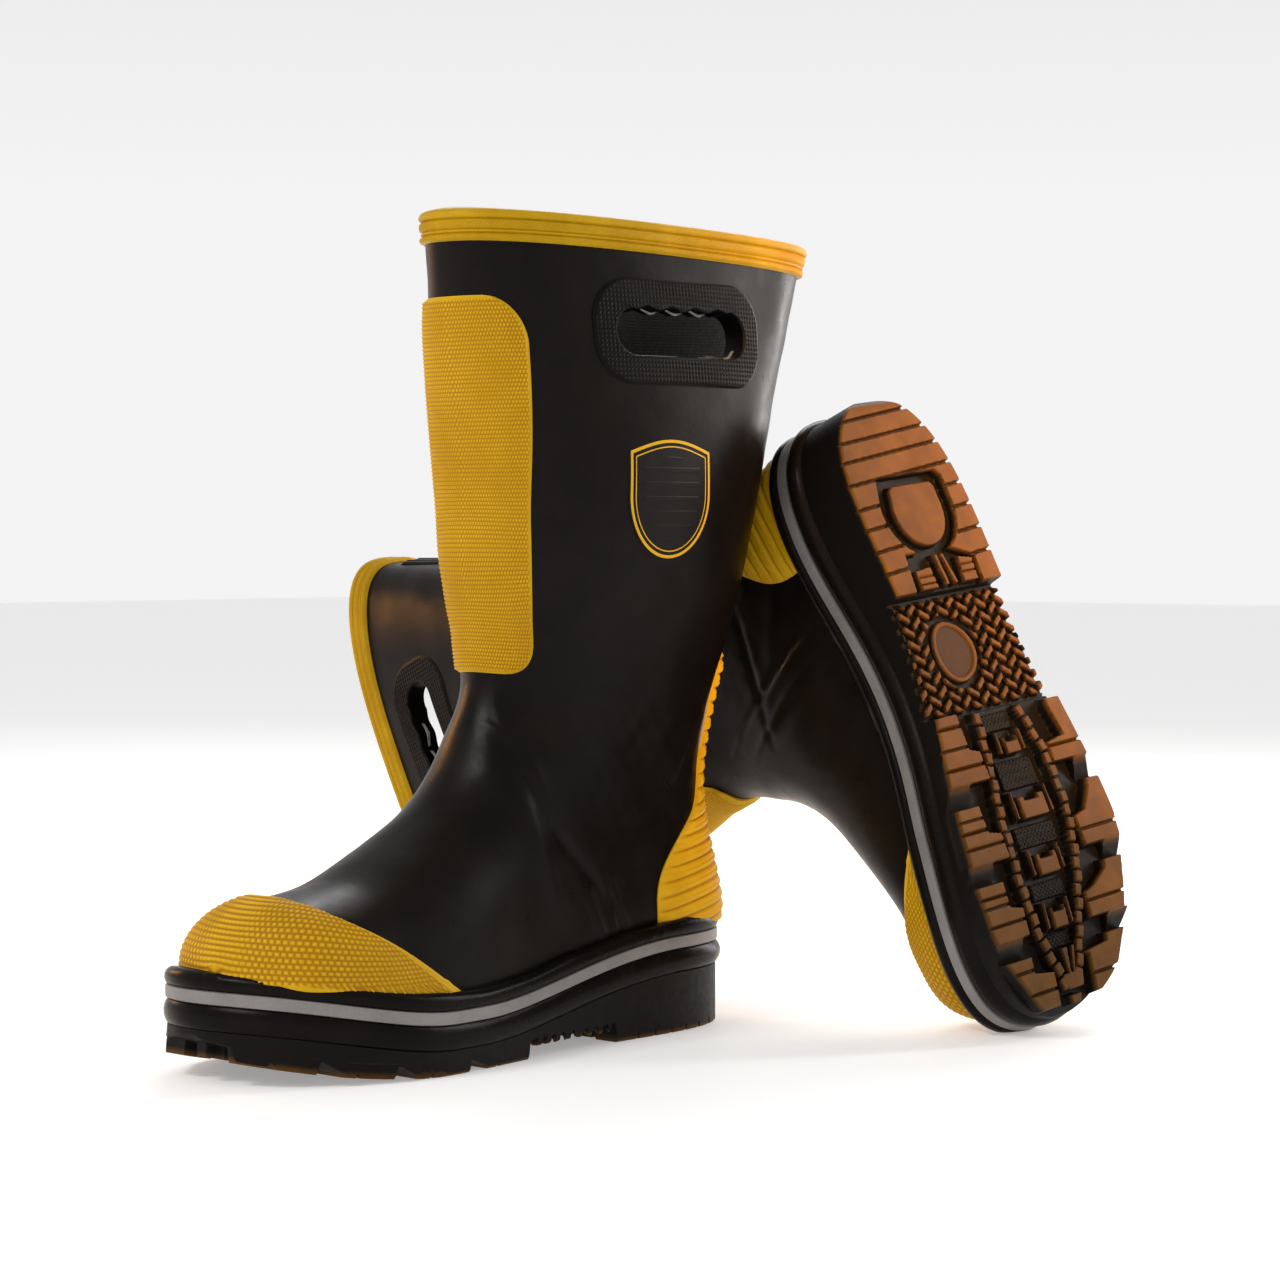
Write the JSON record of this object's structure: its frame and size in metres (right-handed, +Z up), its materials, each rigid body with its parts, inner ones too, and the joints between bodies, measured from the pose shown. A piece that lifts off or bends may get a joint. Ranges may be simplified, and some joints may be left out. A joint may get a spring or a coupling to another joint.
{
  "type": "fire boots",
  "caption": "Tall pull-on rubber fire boots with shin, toe and heel guards, grip slots and a lugged sole, one standing and one lying on its front.",
  "frame": {"origin": "centre of the pair's bounding box, at the level they stand on", "axes": "+Z up; the standing boot's toe points to -Y and its outer side to +X; the lying boot is behind it with its rim to -X"},
  "size_m": [0.5052, 0.4558, 0.4061],
  "materials": {
    "black_rubber": "satin moulded rubber",
    "waffle_rubber": "matt rubber with a fine dot relief",
    "yellow_rubber": "matt yellow rubber with fine ribs",
    "reflective_tape": "grey retroreflective tape",
    "tread_rubber": "matt tread rubber",
    "badge_rubber": "yellow on black relief",
    "knit_lining": "knitted aramid",
    "wool_felt": "needled felt",
    "shin_foam": "closed-cell foam",
    "midsole_foam": "blown rubber",
    "fibre_board": "bonded fibre board",
    "insole_cloth": "felt insole with knitted top",
    "plain_steel": "plain rolled steel"
  },
  "bodies": {
    "left_boot": {"left_upper_shell": "black_rubber", "left_lining": "knit_lining", "left_insulation_felt": "wool_felt", "left_top_binding": "yellow_rubber", "left_shin_guard": "yellow_rubber", "left_toe_cover": "yellow_rubber", "left_heel_guard": "yellow_rubber", "left_grip_facing_outer": "waffle_rubber", "left_grip_facing_inner": "waffle_rubber", "left_back_stay": "black_rubber", "left_side_badge": "badge_rubber", "left_upper_foxing": "black_rubber", "left_reflective_stripe": "reflective_tape", "left_lower_foxing": "black_rubber", "left_outsole": "tread_rubber", "left_midsole_filler": "midsole_foam", "left_puncture_plate": "plain_steel", "left_steel_shank": "plain_steel", "left_insole_board": "fibre_board", "left_steel_toe_cap": "plain_steel", "left_heel_counter": "fibre_board", "left_shin_pad": "shin_foam"},
    "right_boot": {"right_upper_shell": "black_rubber", "right_lining": "knit_lining", "right_insulation_felt": "wool_felt", "right_top_binding": "yellow_rubber", "right_shin_guard": "yellow_rubber", "right_toe_cover": "yellow_rubber", "right_heel_guard": "yellow_rubber", "right_grip_facing_outer": "waffle_rubber", "right_grip_facing_inner": "waffle_rubber", "right_back_stay": "black_rubber", "right_side_badge": "badge_rubber", "right_upper_foxing": "black_rubber", "right_reflective_stripe": "reflective_tape", "right_lower_foxing": "black_rubber", "right_outsole": "tread_rubber", "right_midsole_filler": "midsole_foam", "right_puncture_plate": "plain_steel", "right_steel_shank": "plain_steel", "right_insole_board": "fibre_board", "right_steel_toe_cap": "plain_steel", "right_heel_counter": "fibre_board", "right_shin_pad": "shin_foam"},
    "left_insole": {"left_removable_insole": "insole_cloth"},
    "right_insole": {"right_removable_insole": "insole_cloth"}
  },
  "joints": [
    {"name": "right_boot_away", "type": "slide", "parent": "left_boot", "child": "right_boot", "axis": [0, 1, 0], "range_m": [0, 0.3]},
    {"name": "left_insole_lift", "type": "slide", "parent": "left_boot", "child": "left_insole", "axis": [0, 0, 1], "range_m": [0, 0.008]},
    {"name": "right_insole_lift", "type": "slide", "parent": "right_boot", "child": "right_insole", "axis": [-0.9255, 0.0601, -0.374], "range_m": [0, 0.008]}
  ]
}
